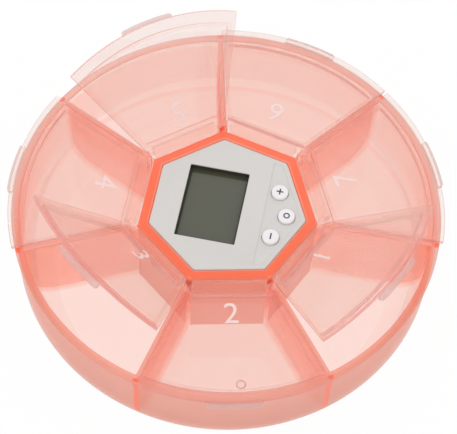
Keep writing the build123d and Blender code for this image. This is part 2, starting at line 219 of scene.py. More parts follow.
def prism(outline, z0, z1, top=()):
    """Upright prism over an outline in mm. Each entry of `top` adds a level: height, and scale about the
    outline's middle."""
    deselect()
    bpy.ops.mesh.primitive_circle_add(vertices=len(outline), radius=1.0, fill_type="NGON")
    obj = bpy.context.object
    around = sorted(obj.data.vertices, key=lambda v: atan2(v.co.y, v.co.x) % (2 * pi))
    for vertex, (x, y) in zip(around, outline):
        vertex.co = (x * MM, y * MM, z0 * MM)
    middle = [sum(p[axis] for p in outline) / len(outline) for axis in (0, 1)]
    bpy.ops.object.mode_set(mode="EDIT")
    bpy.ops.mesh.select_all(action="SELECT")
    extrude_levels([(z1, 1.0), *top], z0, middle)
    close_shell()
    return obj


def turned(profile, sides=ROUND_STEPS, place=(0, 0)):
    """Solid of revolution round an upright axis: rings of radius and height in mm, flat at both ends."""
    deselect()
    r, z = profile[0]
    x, y = place
    bpy.ops.mesh.primitive_circle_add(vertices=sides, radius=r * MM, fill_type="NGON")
    obj = bpy.context.object
    obj.data.transform(Matrix.Translation((x * MM, y * MM, z * MM)))
    bpy.ops.object.mode_set(mode="EDIT")
    bpy.ops.mesh.select_all(action="SELECT")
    extrude_levels([(higher, wider / r) for wider, higher in profile[1:]], z, place)
    close_shell()
    return obj


def block(x0, x1, y0, y1, z0, z1):
    return prism([(x1, y1), (x0, y1), (x0, y0), (x1, y0)], z0, z1)


def rod(r, y0, y1, sides=32):
    """Cylinder along Y through the origin."""
    obj = turned([(r, y0), (r, y1)], sides)
    obj.data.transform(Matrix.Rotation(-pi / 2, 4, "X"))
    return obj


def modify(obj, kind, **settings):
    activate(obj)
    modifier = obj.modifiers.new(kind.lower(), kind)
    for name, value in settings.items():
        setattr(modifier, name, value)
    bpy.ops.object.modifier_apply(modifier=modifier.name)
    return obj


def combine(obj, others, operation):
    for other in others if isinstance(others, (list, tuple)) else [others]:
        modify(obj, "BOOLEAN", object=other, operation=operation, solver="EXACT")
        bpy.data.objects.remove(other)
    return obj


def rounded(obj, width, segments=2, angle=50):
    return modify(obj, "BEVEL", width=width * MM, segments=segments, limit_method="ANGLE",
                  angle_limit=radians(angle))


def turn(obj, degrees):
    obj.data.transform(Matrix.Rotation(radians(degrees), 4, "Z"))
    return obj


def copied(obj, degrees=0.0):
    new = obj.copy()
    new.data = obj.data.copy()
    bpy.context.collection.objects.link(new)
    return turn(new, degrees)


def joined(objects):
    activate(objects[0])
    for obj in objects:
        obj.select_set(True)
    bpy.ops.object.join()
    return objects[0]


def ring_of(obj, first=0.0):
    """Seven copies round the middle, joined."""
    turn(obj, first)
    return joined([obj] + [copied(obj, i * SECTOR) for i in range(1, DAYS)])


def mark_rims(obj, share_of):
    """Attribute "rim": how strongly a face takes the painted glow, by its middle in mm and its normal."""
    rim = obj.data.attributes.new("rim", "FLOAT", "FACE")
    for face in obj.data.polygons:
        rim.data[face.index].value = share_of(face.center / MM, face.normal)


def finished(obj, name, material, body, replaced, angle=35):
    """Merges a modelled piece's doubles, smooths it and hands it to its body."""
    activate(obj)
    bpy.ops.object.mode_set(mode="EDIT")
    bpy.ops.mesh.select_all(action="SELECT")
    bpy.ops.mesh.remove_doubles(threshold=0.002 * MM)
    bpy.ops.object.mode_set(mode="OBJECT")
    bpy.ops.object.shade_smooth_by_angle(angle=radians(angle))
    obj.name = obj.data.name = name
    obj.data.materials.clear()
    obj.data.materials.append(material)
    if replaced:
        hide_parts(*replaced)
    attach(obj, body)
    return obj


def arc(middle, r, start, end, steps):
    """Points of an arc, angles in degrees."""
    points = []
    for i in range(steps + 1):
        a = radians(start + (end - start) * i / steps)
        points.append((middle[0] + r * cos(a), middle[1] + r * sin(a)))
    return points


def eased(z, rounding, half, way=-1, steps=3):
    """Levels that round the edge at height z of a form that reaches `half` from its middle: inwards, or
    with way=1 outwards, for a hole."""
    levels = []
    for i in range(1, steps + 1):
        a = pi / 2 * i / steps
        levels.append((z - rounding + rounding * sin(a), 1 + way * rounding * (1 - cos(a)) / half))
    return levels


def heptagon(apothem, rounding, point=90, steps=4):
    """Seven-sided outline with rounded corners, counter-clockwise from +X."""
    points = []
    for i in range(DAYS):
        a = point + i * SECTOR
        d = (apothem - rounding) / C_HALF
        middle = (d * cos(radians(a)), d * sin(radians(a)))
        points += arc(middle, rounding, a - SECTOR / 2, a + SECTOR / 2, steps)
    return sorted(points, key=lambda p: atan2(p[1], p[0]) % (2 * pi))


def counter_clockwise(outline):
    x = sum(p[0] for p in outline) / len(outline)
    y = sum(p[1] for p in outline) / len(outline)
    return sorted(outline, key=lambda p: atan2(p[1] - y, p[0] - x) % (2 * pi))


# ---------------------------------------------------------------- tray
def pocket(rounding):
    """What one compartment takes out of the bowl, with the rounding of its floor and of the wall tops."""
    scoop = [(r, z) for z, r in arc((FOOT_ROUND, BOWL_R - FOOT_ROUND), FOOT_ROUND - FLOOR, 180, 90, 10)]
    hollow = turned(scoop + [(MOUTH_R, TRAY_H + 5)])
    side = PARTITION / 2 / C_HALF
    near, far = HUB_OUT, 66.0
    wedge = [(far, T_HALF * far - side), (near, T_HALF * near - side),
             (near, side - T_HALF * near), (far, side - T_HALF * far)]
    combine(hollow, prism(wedge, 0, TRAY_H + 9), "INTERSECT")
    rounded(hollow, 0.2, 2)
    activate(hollow)
    bpy.ops.object.mode_set(mode="EDIT")
    bpy.ops.mesh.select_all(action="SELECT")
    mouth = TRAY_H - rounding
    bpy.ops.mesh.bisect(plane_co=(0, 0, mouth * MM), plane_no=(0, 0, 1), clear_outer=True, use_fill=True)
    middle, half = POCKET
    levels = eased(TRAY_H, rounding, half, 1) + [(TRAY_H + 5, 1 + rounding / half)]
    extrude_levels(levels, mouth, (middle, 0))
    bpy.ops.object.mode_set(mode="OBJECT")
    return hollow


def at_hinge(*pieces):
    """Pieces made round a hinge pin's middle, repeated at every hinge of the box."""
    piece = joined(list(pieces))
    piece.data.transform(Matrix.Translation((AXIS_A * MM, 0, AXIS_Z * MM)))
    return ring_of(piece, MIDWAY)


def bowl(rounding):
    foot = [(r, z) for z, r in arc((FOOT_ROUND, BOWL_R - FOOT_ROUND), FOOT_ROUND, 180, 90, 10)]
    lip = [(BOWL_R + 0.3, LIP_Z - 0.05), (LIP_R - 0.1, LIP_Z + 0.05), (LIP_R, LIP_Z + 0.2), (LIP_R, TRAY_H - rounding)]
    rim = [(LIP_R * scale, z) for z, scale in eased(TRAY_H, rounding, LIP_R)]
    return turned(foot + lip + rim)


def tray_glow(place, normal):
    """Painted glow: full on the walls' tops, the outer and hub walls as they show, the hinge posts and the ejector
    mark.
    """
    top = place.z > TRAY_H - 0.5 and normal.z > 0.1
    hub = HUB_OUT - 1 < place.xy.length < HUB_OUT + 2.5 and abs(normal.z) < 0.5
    outwards = normal.xy.dot(place.xy.normalized()) > 0.2 and normal.z < 0.5
    outer = place.xy.length > BOWL_R - FOOT_ROUND + 0.1 and outwards
    post = POST[0] - 0.2 < place.xy.length < POST[1] + 0.4 and POST[3] - 0.5 < place.z < AXIS_Z - 0.8
    mark = FLOOR + 0.02 < place.z < FLOOR + 0.25 and (place.xy - MARK).length < 1.5
    return float(top or hub or outer or post or mark)


def dip():
    """Room in a partition, up to the hub's two sides, for the corners of lids that stand upright."""
    half, floor = DIP
    corner = (HUB_OUT + 0.05) / C_HALF
    side, far = corner - half * T_HALF, POST[0] + 0.02
    return prism([(far, half), (side, half), (corner, 0), (side, -half), (far, -half)], floor, TRAY_H + 1)


def build_tray(sizes):
    r, hub = sizes.wall_round / MM, sizes.hub_round / MM
    tray = bowl(r)
    crown = eased(HUB_H, hub, HUB_OUT)
    combine(tray, prism(heptagon(HUB_OUT, HUB_ROUND), TRAY_H - 1, HUB_H - hub, crown), "UNION")
    combine(tray, ring_of(pocket(r), MIDWAY), "DIFFERENCE")
    mouth = eased(HUB_H, hub, HUB_IN, 1) + [(HUB_H + 4, 1 + hub / HUB_IN)]
    combine(tray, prism(heptagon(HUB_IN, HUB_ROUND), FLOOR, HUB_H - hub, mouth), "DIFFERENCE")
    near, far, half, top = SEAT
    combine(tray, ring_of(block(near, far, -half, half, FLOOR - 0.3, top), MIDWAY), "UNION")
    near, far, half, foot = POST
    combine(tray, ring_of(block(near, far, -half, half, foot, TRAY_H - 0.02), 90), "UNION")
    combine(tray, ring_of(dip(), 90), "DIFFERENCE")
    r, start, end = PIN_HOLE
    combine(tray, at_hinge(rod(r, start, end, 20), rod(r, -end, -start, 20)), "DIFFERENCE")
    wide, start, end = PIN_MOUTH, start - 0.1, end - 0.01
    combine(tray, at_hinge(block(-wide, wide, start, end, 0, 2), block(-wide, wide, -end, -start, 0, 2)), "DIFFERENCE")
    mark = turned([(1.4, FLOOR - 0.3), (1.4, FLOOR + 0.15), (1.3, FLOOR + 0.2)], 28, MARK)
    combine(mark, turned([(1.0, FLOOR), (1.05, FLOOR + 1)], 28, MARK), "DIFFERENCE")
    combine(tray, mark, "UNION")
    mark_rims(tray, tray_glow)
    return tray


class PILLBOX_OT_tray(bpy.types.Operator):
    """Model the tray with its hub, compartments, hinge posts and seats"""
    bl_idname = "pillbox.tray"
    bl_label = "Tray"

    def execute(self, context):
        finish = context.scene.pill_box_finish
        # the hub, partition, corner, wall-top and lip colours go in as painted glow
        plastic = polypropylene("tray_polypropylene", (finish.tray_skin, finish.wall_skin), finish.tray_milk,
                                ((0.0, finish.haze), (OUTER_WALL, finish.wall_haze)),
                                ((0.0, finish.hub_edge), (HUB_EDGE, finish.partition_edge),
                                 (OUTER_WALL, finish.tray_edge), (OUTER_SKIN, finish.tray_lip)),
                                TRAY_GLOW, finish.tray_depth, 95.0, 0.85,
                                box=(finish.hub_edge, finish.hub_wall, finish.hub_corner, finish.corner))
        finished(build_tray(context.scene.pill_box_sizes), "tray_moulding", plastic, "tray", ["tray"])
        return {"FINISHED"}


# ---------------------------------------------------------------- lids, modelled shut, hinge along Y
def sector(offset, r, x0, steps=24):
    """Outline over one compartment: sides `offset` from the compartment lines, outer arc about the
    box's middle, inner side at x0."""
    e = offset / C_HALF
    k = 1 + T_HALF ** 2
    a = (T_HALF * e + sqrt((T_HALF * e) ** 2 - k * (e ** 2 - r ** 2))) / k
    y0 = T_HALF * (AXIS_A + x0) - e
    swing = 180 / pi * atan2(T_HALF * a - e, a)
    return arc((-AXIS_A, 0), r, -swing, swing, steps) + [(x0, y0), (x0, -y0)]


def lid_plate(rounding):
    """Flat top with the two corners at the hinge cut off."""
    y0 = T_HALF * AXIS_A - LID_GAP / C_HALF
    corner = ((1.8, y0 + T_HALF * 1.8), (0, y0 - 1.0))
    outline = sector(LID_GAP, LID_R, 0)[:-2] + [*corner, *((x, -y) for x, y in reversed(corner))]
    return rounded(prism(counter_clockwise(outline), *PLATE), rounding, 3)


def lid_tab():
    """Thumb tab under the plate's outer edge, its two outer corners rounded."""
    inner, outer, width, foot, top = TAB
    half, reach = width / 2, outer - TAB_ROUND
    swing = degrees(asin((half - TAB_ROUND) / reach))
    spread = degrees(asin(half / inner))
    corner = arc((reach * cos(radians(swing)) - AXIS_A, half - TAB_ROUND), TAB_ROUND, swing + 20, 90, 3)
    outline = arc((-AXIS_A, 0), outer, -swing, swing, 12) + corner + [(x, -y) for x, y in corner]
    outline += arc((-AXIS_A, 0), inner, -spread, spread, 12)
    return rounded(prism(counter_clockwise(outline), foot, top), 0.2, 2)


def lid_rib():
    """Upstand that drops just inside the compartment."""
    gap, r, end, thick, foot = RIB
    ring = prism(counter_clockwise(sector(gap, r, end)), foot, PLATE[0] + 0.3)
    hollow = prism(counter_clockwise(sector(gap + thick, r - thick, end + thick)), -2, 2)
    return combine(ring, hollow, "DIFFERENCE")


def lid_roll():
    """Rounded inner edge with a pin at each end."""
    r, half = ROLL
    inner = half - 0.8
    return combine(rod(r, -half, half, 40), [rod(PIN_R, inner, PIN_END, 20), rod(PIN_R, -PIN_END, -inner, 20)], "UNION")


def lid_glow(place, normal):
    """Painted glow: full on the thumb tab, half on the cut edges and the outer run of the rib."""
    if (place + Vector((AXIS_A, 0, 0))).xy.length > TAB[0] - 0.05 and place.z < TAB[4] + 0.05:
        return 1.0
    rib_side = place.z < PLATE[0] and abs(normal.y) > 0.7
    return 0.5 if place.x > 2.2 and abs(normal.z) < 0.9 and not rib_side else 0.0


def build_lid(sizes):
    lid = lid_plate(sizes.lid_round / MM)
    combine(lid, [lid_tab(), lid_rib(), lid_roll()], "UNION")
    mark_rims(lid, lid_glow)
    return lid


def on_hinge(day):
    """Place of a lid as it stands."""
    place = Matrix.Rotation(radians(bearing(day)), 4, "Z")
    place = place @ Matrix.Translation((AXIS_A * MM, 0, AXIS_Z * MM))
    return place @ Matrix.Rotation(-radians(LID_OPEN[day]), 4, "Y")


def numeral(day, sizes):
    """Day number on a lid, upright when read from outside."""
    deselect()
    bpy.ops.object.text_add()
    text = bpy.context.object
    text.data.body = str(day)
    text.data.align_x = "CENTER"
    text.data.align_y = "CENTER"
    text.data.size = sizes.numeral
    text.data.extrude = 0.015 * MM
    bpy.ops.object.convert(target="MESH")
    sign = bpy.context.object
    sign.data.transform(Matrix.Rotation(pi / 2, 4, "Z"))
    sign.data.transform(Matrix.Translation((sizes.numeral_place, 0, (PLATE[1] + 0.025) * MM)))
    sign.data.transform(on_hinge(day))
    return sign


class PILLBOX_OT_lids(bpy.types.Operator):
    """Model one lid, copy it to the seven hinges and print the day numbers"""
    bl_idname = "pillbox.lids"
    bl_label = "Lids and numbers"

    def execute(self, context):
        finish, sizes = context.scene.pill_box_finish, context.scene.pill_box_sizes
        # the edge and thumb tab colours go in as painted glow
        plastic = polypropylene("lid_polypropylene", (finish.lid_skin, finish.lid_skin), finish.lid_milk,
                                ((0.0, finish.lid_haze),), ((0.0, finish.lid_edge), (0.7, finish.lid_tab)),
                                LID_GLOW, finish.lid_depth, 65.0, 0.87)
        ink = printed_ink("pale_day_ink", finish.ink)
        shut = build_lid(sizes)
        for day in LID_OPEN:
            lid = copied(shut)
            lid.data.transform(on_hinge(day))
            finished(lid, f"lid_{day}_moulding", plastic, f"lid_{day}", [f"lid_{day}"])
            finished(numeral(day, sizes), f"lid_{day}_number", ink, f"lid_{day}", [])
        bpy.data.objects.remove(shut)
        return {"FINISHED"}


# ---------------------------------------------------------------- timer, in its own axes
def rectangle(width, height, middle, rounding=0.0, steps=4):
    """Outline with rounded corners, centred at x 0 and y `middle`."""
    x, y = width / 2 - rounding, height / 2 - rounding
    if not rounding:
        return [(x, middle + y), (-x, middle + y), (-x, middle - y), (x, middle - y)]
    corners = ((x, y, 0), (-x, y, 90), (-x, -y, 180), (x, -y, 270))
    return [p for cx, cy, a in corners for p in arc((cx, middle + cy), rounding, a, a + 90, steps)]


def window_cutter(rounding):
    w, h, middle = WINDOW
    levels = [(z, (1 + (s - 1) / w, 1 + (s - 1) / h)) for z, s in eased(FACE_Z, rounding, 0.5, 1)]
    levels.append((FACE_Z + 2, levels[-1][1]))
    return prism(rectangle(w, h, middle, 0.3), SPLIT_Z, FACE_Z - rounding, levels)


def keypad_cutter(depth):
    """Sunk field of the keypad, a corner of a smaller heptagon."""
    field = prism(heptagon(KEYPAD_A, 1.0, -90), FACE_Z - depth, FACE_Z - 0.1,
                  [(FACE_Z, 1.008), (FACE_Z + 1, 1.008)])
    return combine(field, block(-30, 30, -30, KEYPAD_Y, SPLIT_Z, FACE_Z + 3), "INTERSECT")


def build_face(sizes):
    rounding = sizes.face_round / MM
    face = prism(heptagon(FACE_A, 1.0, -90), SPLIT_Z, FACE_Z - rounding, eased(FACE_Z, rounding, FACE_A))
    combine(face, prism(heptagon(FACE_A - FACE_WALL, 0.5, -90), SPLIT_Z - 1, FACE_Z - FACE_T), "DIFFERENCE")
    combine(face, [window_cutter(sizes.window_round / MM), keypad_cutter(sizes.keypad_depth / MM)], "DIFFERENCE")
    sunk = FACE_Z - sizes.keypad_depth / MM
    for x, y in KEYS.values():
        mouth = [(0, SPLIT_Z), (0, sunk - 0.15), (0.04, sunk - 0.05), (0.15, sunk), (0.15, FACE_Z + 1)]
        combine(face, turned([(KEY_HOLE_R + wider, z) for wider, z in mouth], 48, (x, y)), "DIFFERENCE")
    for place in SCREWS:
        (r, foot), (hole_r, end) = BOSS, SCREW_HOLE
        boss = turned([(r, foot), (r, FACE_Z - FACE_T + 0.3)], 32, place)
        combine(boss, turned([(hole_r, foot - 1.5), (hole_r, end)], 24, place), "DIFFERENCE")
        combine(face, boss, "UNION")
    return turn(face, TIMER_TURN)


def build_gasket(sizes):
    """Dark foam strip that lines the window down to the display, laid there as painted shade for the window's dark
    edges.
    """
    w, h, middle = WINDOW
    t = sizes.gasket / MM
    top = FACE_Z - sizes.window_round / MM - 0.1
    strip = prism(rectangle(w - 0.02, h - 0.02, middle, 0.3), FACE_Z - FACE_T, top - 0.08, [(top, 0.998)])
    combine(strip, prism(rectangle(w - 2 * t, h - 2 * t, middle, 0.25), SPLIT_Z, FACE_Z + 1), "DIFFERENCE")
    return turn(strip, TIMER_TURN)


class PILLBOX_OT_timer_face(bpy.types.Operator):
    """Model the timer's front with its window, a dark strip of painted shade round the display, and sunk keypad"""
    bl_idname = "pillbox.timer_face"
    bl_label = "Timer face"

    def execute(self, context):
        finish, sizes = context.scene.pill_box_finish, context.scene.pill_box_sizes
        shell = moulded_abs("white_abs", finish.face, 0.42)
        shade_foam = foam_strip("painted_shade_foam", finish.gasket)
        finished(build_face(sizes), "timer_front", shell, "timer", ["timer_face"])
        finished(build_gasket(sizes), "display_shade_strip", shade_foam, "timer", [])
        return {"FINISHED"}


def build_key(sizes):
    r = sizes.key_round / MM
    rim = [(x, z) for x, z in arc((KEY_R - r, KEY_TOP - r), r, 0, 90, 5)]
    flange, foot, top = KEY_FLANGE
    stem = [(1.0, 23.95), (1.0, foot), (flange, foot), (flange, top), (KEY_R, top)]
    dish = [(1.5, KEY_TOP - 0.02), (1.0, KEY_TOP - 0.05), (0.4, KEY_TOP - 0.06)]
    return turned(stem + rim + dish, 48)


def key_sign(name):
    """Plus, ring or minus on top of a key."""
    z0, z1 = KEY_TOP - 0.1, KEY_TOP - 0.02
    long, wide = SIGN[0] / 2, SIGN[1] / 2
    if name == "button_set":
        ring = turned([(0.9, z0), (0.9, z1)], 32)
        return combine(ring, turned([(0.55, z0 - 1), (0.55, z1 + 1)], 32), "DIFFERENCE")
    bar = block(-long, long, -wide, wide, z0, z1)
    if name == "button_plus":
        combine(bar, block(-wide, wide, -long, long, z0, z1 - 0.004), "UNION")
    return bar


class PILLBOX_OT_keys(bpy.types.Operator):
    """Model the three round keys with their signs"""
    bl_idname = "pillbox.keys"
    bl_label = "Keys"

    def execute(self, context):
        finish = context.scene.pill_box_finish
        cap = moulded_abs("key_abs", finish.key, 0.32)
        ink = printed_ink("dark_sign_ink", finish.sign)
        first = build_key(context.scene.pill_box_sizes)
        for name, (x, y) in KEYS.items():
            place = Matrix.Rotation(radians(TIMER_TURN), 4, "Z") @ Matrix.Translation((x * MM, y * MM, 0))
            for piece, label, material in ((copied(first), "cap", cap), (key_sign(name), "sign", ink)):
                piece.data.transform(place)
                finished(piece, f"{name}_{label}", material, name, [name] if label == "cap" else [])
        bpy.data.objects.remove(first)
        return {"FINISHED"}


class PILLBOX_OT_display(bpy.types.Operator):
    """Model the display's glass with its ground edges"""
    bl_idname = "pillbox.display"
    bl_label = "Display"

    def execute(self, context):
        w, h, t, middle = LCD
        top = FACE_Z - FACE_T
        glass = rounded(prism(rectangle(w, h, middle), top - t, top), 0.12, 2)
        finished(turn(glass, TIMER_TURN), "display_glass",
                 display_glass("display_glass", context.scene.pill_box_finish.display), "timer", ["lcd_glass"])
        return {"FINISHED"}


class PILLBOX_OT_works(bpy.types.Operator):
    """Dress the pieces inside the timer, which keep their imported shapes"""
    bl_idname = "pillbox.works"
    bl_label = "Timer works"

    def execute(self, context):
        finish = context.scene.pill_box_finish
        shell = moulded_abs("case_abs", finish.face, 0.5)
        steel = metal("bright_steel", "#C9C8C4", 0.28)
        dress = {
            "timer_back_case": shell,
            "battery_door": shell,
            "lcd_holder": moulded_abs("grey_plastic", linear("#8E8F90"), 0.5),
            "zebra_strip": zebra_rubber("contact_rubber"),
            "circuit_board": board_laminate("board_laminate", finish.board),
            "switches": switch_plastic("switch_plastic"),
            "chip_blob": black_epoxy("black_epoxy"),
            "quartz_crystal": metal("crystal_can", "#BDBDC0", 0.2),
            "piezo_buzzer": metal("sounder_brass", "#C9A65A", 0.35),
            "coin_cell": metal("cell_steel", "#CFCFCB", 0.24),
            "battery_contact_positive": steel,
            "battery_contact_negative": steel,
            "case_screws": steel,
        }
        for name, material in dress.items():
            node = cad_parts[name]
            node.data.materials.clear()
            node.data.materials.append(material)
        return {"FINISHED"}


# ---------------------------------------------------------------- materials
def add(tree, kind, *values, steps=(), **given):
    """Adds a node. `values` go to its open inputs in order, capitalised names are its sockets, with _ for a
    space, `steps` are a ramp's (position, level or colour) pairs, and the rest are its properties. A socket
    takes a value, another node's output, or a node, which stands for its first open output."""
    node = tree.nodes.new("ShaderNode" + kind)
    for key, value in given.items():
        if not key[0].isupper():
            setattr(node, key, value)
    wanted = list(zip([socket for socket in node.inputs if socket.enabled], values))
    wanted += [(node.inputs[key.replace("_", " ")], value) for key, value in given.items() if key[0].isupper()]
    for socket, value in wanted:
        if isinstance(value, bpy.types.Node):
            value = next(output for output in value.outputs if output.enabled)
        if isinstance(value, bpy.types.NodeSocket):
            tree.links.new(value, socket)
        else:
            socket.default_value = value
    if steps:
        hold(node.color_ramp, steps)
    return node


def hold(ramp, steps):
    """Gives a ramp steps, each held up to the next."""
    ramp.interpolation = "CONSTANT"
    points = ramp.elements
    while len(points) < len(steps):
        points.new(1.0)
    while len(points) > len(steps):
        points.remove(points[-1])
    for point, (position, level) in zip(points, steps):
        point.position = position
        point.color = (level, level, level, 1.0) if isinstance(level, float) else level


def started(name):
    """Empty material, its node tree, and the place on the piece that its patterns follow."""
    material = bpy.data.materials.new(name)
    material.use_nodes = True
    tree = material.node_tree
    tree.nodes.clear()
    return material, tree, add(tree, "TexCoord").outputs["Object"]


def per(mm):
    """Scale of a pattern whose cells measure `mm`."""
    return 1 / (mm * MM)


def swing(base, spread):
    """A colour made darker and lighter by the share `spread`."""
    return [[min(c * way, 1.0) for c in base[:3]] + [1.0] for way in (1 - spread, 1 + spread)]


# Polypropylene, injection moulded in a polished tool: a clear body that takes on colour at each face and with
# depth, a small milky share that scatters light, and painted glow: an opaque colour laid on cut edges and thick
# parts in place of the light that gathers in them. Flow lines of the melt, 17 mm apart, bend what is seen through
# the walls by a trace. The polish's own marks, 0.01 mm, are too fine to show, and are drawn 0.4 mm apart. Steps go
# by the distance from the box's middle, as a share of RADIUS.
RADIUS = 60.0
HUB_EDGE = 25.0 / RADIUS
HUB_FOOT = 25.5 / RADIUS
OUTER_WALL = 56.3 / RADIUS
OUTER_SKIN = 57.3 / RADIUS
# TRAY_GLOW, LID_GLOW and the second number of ENDS are shares of painted glow: opaque colour laid on in place of light
# gathered in the plastic.
TRAY_GLOW = ((0.0, 0.92), (HUB_EDGE, 0.8), (OUTER_WALL, 0.65))
LID_GLOW = ((0.0, 1.0), (0.7, 0.5))
FLOW_LINES = 16.67
POLISH = 0.385
ENDS = (0.05, 0.25)            # width of the bands where partitions meet the outer wall, and their glow


def partition_ends(tree, place):
    """1 where the outer wall meets a partition."""
    quarter = add(tree, "Mapping", Vector=place, Rotation=(0, 0, radians(-90)))
    x, y = add(tree, "SeparateXYZ", quarter).outputs[:2]
    bearing = add(tree, "Math", y, x, operation="ARCTAN2")
    wave = add(tree, "Math", add(tree, "Math", bearing, DAYS / 2, operation="MULTIPLY"), operation="SINE")
    return add(tree, "Math", add(tree, "Math", wave, operation="ABSOLUTE"), ENDS[0], operation="LESS_THAN")


def box_edges(tree, place, outwards, level, edge, glow, colours):
    """Painted glow colour and share of the tray's edges, with painted shade that makes them darker towards the foot,
    and with `colours` for the bands at the partitions' ends, for the hub's wall, for its rounded corners and for those
    of the other walls."""
    end_band_glow, hub_wall, hub_corner, wall_corner_glow = colours
    height = add(tree, "SeparateXYZ", place).outputs["Z"]
    # painted shade: darker towards the foot, a little lighter at the top
    painted_height_shade = add(tree, "MapRange", Value=height, From_Min=3 * MM, From_Max=TRAY_H * MM, To_Min=0.8, To_Max=1.04)
    edge = add(tree, "HueSaturation", Value=painted_height_shade, Color=edge)
    # painted glow in bands where the partitions meet the outer wall
    outside = add(tree, "Math", outwards, OUTER_SKIN, operation="GREATER_THAN")
    ends = add(tree, "Math", partition_ends(tree, place), outside, operation="MULTIPLY")
    edge = add(tree, "Mix", ends, edge, end_band_glow, data_type="RGBA")
    glow = add(tree, "Math", glow, add(tree, "Math", ends, ENDS[1], operation="MULTIPLY"), operation="ADD")
    hub = add(tree, "Math", outwards, HUB_FOOT, operation="LESS_THAN")
    upright = add(tree, "Math", level, 0.5, operation="LESS_THAN")
    edge = add(tree, "Mix", add(tree, "Math", hub, upright, operation="MULTIPLY"), edge, hub_wall, data_type="RGBA")
    tilted = add(tree, "Math", level, 0.97, operation="LESS_THAN")
    high = add(tree, "Math", height, (TRAY_H - 0.6) * MM, operation="GREATER_THAN")
    corner = add(tree, "Mix", hub, wall_corner_glow, hub_corner, data_type="RGBA")
    edge = add(tree, "Mix", add(tree, "Math", tilted, high, operation="MULTIPLY"), edge, corner, data_type="RGBA")
    return edge, glow


def polypropylene(name, skins, milk, hazes, edges, glows, depth, density, straight, box=None):
    """`skins` are for level and upright faces. `edges` and `glows` are the colours and shares of painted glow, steps
    along the attribute "rim", or, with the colours in `box` for the round tray, along the distance from its middle."""
    material, tree, place = started(name)
    flow = add(tree, "TexNoise", Vector=place, Scale=per(FLOW_LINES), Detail=3.0, Distortion=0.8)
    polish = add(tree, "TexNoise", Vector=place, Scale=per(POLISH))
    surface = add(tree, "Bump", Height=flow, Distance=0.04 * MM)
    surface = add(tree, "Bump", Height=polish, Distance=0.001 * MM, Normal=surface)
    flat = add(tree, "VectorMath", place, (per(RADIUS), per(RADIUS), 0.0), operation="MULTIPLY")
    outwards = add(tree, "VectorMath", flat, operation="LENGTH")
    normal = add(tree, "SeparateXYZ", add(tree, "TexCoord").outputs["Normal"])
    level = add(tree, "Math", normal.outputs["Z"], operation="ABSOLUTE")

    # what light passes through: tinted once at each face, and left alone by the outer wall
    upright = add(tree, "Math", level, 0.6, operation="LESS_THAN")
    tone = add(tree, "Mix", flow, *swing(skins[0], 0.005), data_type="RGBA")
    tone = add(tree, "Mix", upright, tone, skins[1], data_type="RGBA")
    within = add(tree, "Math", outwards, OUTER_WALL, operation="LESS_THAN")
    tone = add(tree, "Mix", within, linear("#FFFEFD"), tone, data_type="RGBA")
    gloss = add(tree, "MapRange", Value=flow, To_Min=0.05, To_Max=0.11)
    bent = add(tree, "BsdfPrincipled", Base_Color=tone, Roughness=gloss, IOR=1.49, Transmission_Weight=1.0,
               Normal=surface)
    body = add(tree, "MixShader", straight, bent, add(tree, "BsdfTransparent", Color=tone))

    # the milky share
    milky = add(tree, "Mix", flow, *swing(milk, 0.04), data_type="RGBA")
    scattered = add(tree, "BsdfDiffuse", Color=milky, Normal=surface)
    cloud = add(tree, "MixShader", 0.4, scattered, add(tree, "BsdfTranslucent", Color=milky))
    body = add(tree, "MixShader", add(tree, "ValToRGB", outwards, steps=hazes), body, cloud)

    # painted glow on the edges: an opaque coloured share, seen from outside only
    rim = add(tree, "Attribute", attribute_name="rim").outputs["Fac"]
    along = outwards if box else rim
    edge, glow = add(tree, "ValToRGB", along, steps=edges), add(tree, "ValToRGB", along, steps=glows)
    if box:
        edge, glow = box_edges(tree, place, outwards, level, edge, glow, box)
    edge = add(tree, "Mix", flow, edge, add(tree, "HueSaturation", Value=0.95, Color=edge), data_type="RGBA")
    painted_glow_shader = add(tree, "BsdfPrincipled", Base_Color=edge, Roughness=0.3, Normal=surface)
    outside = add(tree, "Math", 1.0, add(tree, "NewGeometry").outputs["Backfacing"], operation="SUBTRACT")
    glow = add(tree, "Math", add(tree, "Math", rim, glow, operation="MULTIPLY"), outside, operation="MULTIPLY")
    body = add(tree, "MixShader", glow, body, painted_glow_shader)

    # shadows stay light, as they do under clear plastic
    passing = add(tree, "BsdfTransparent", Color=linear("#F6F0EE"))
    body = add(tree, "MixShader", add(tree, "LightPath").outputs["Is Shadow Ray"], body, passing)
    thickness = add(tree, "VolumeAbsorption", Color=list(depth), Density=density)
    add(tree, "OutputMaterial", Surface=body, Volume=thickness)
    return material


# ABS moulded in a spark-eroded tool: a fine matt skin, and a tone that drifts by a trace over 22 mm. The
# skin's real grain, 0.05 mm, is drawn at 0.19 mm so that it shows.
def moulded_abs(name, tint, roughness):
    material, tree, place = started(name)
    skin = add(tree, "TexNoise", Vector=place, Scale=per(0.1923), Detail=3.0)
    broad = add(tree, "TexNoise", Vector=place, Scale=per(22.22))
    body = add(tree, "BsdfPrincipled", IOR=1.53,
               Base_Color=add(tree, "Mix", broad, *swing(tint, 0.02), data_type="RGBA"),
               Roughness=add(tree, "MapRange", Value=skin, To_Min=roughness - 0.06, To_Max=roughness + 0.06),
               Normal=add(tree, "Bump", Height=skin, Distance=0.006 * MM))
    add(tree, "OutputMaterial", Surface=body)
    return material


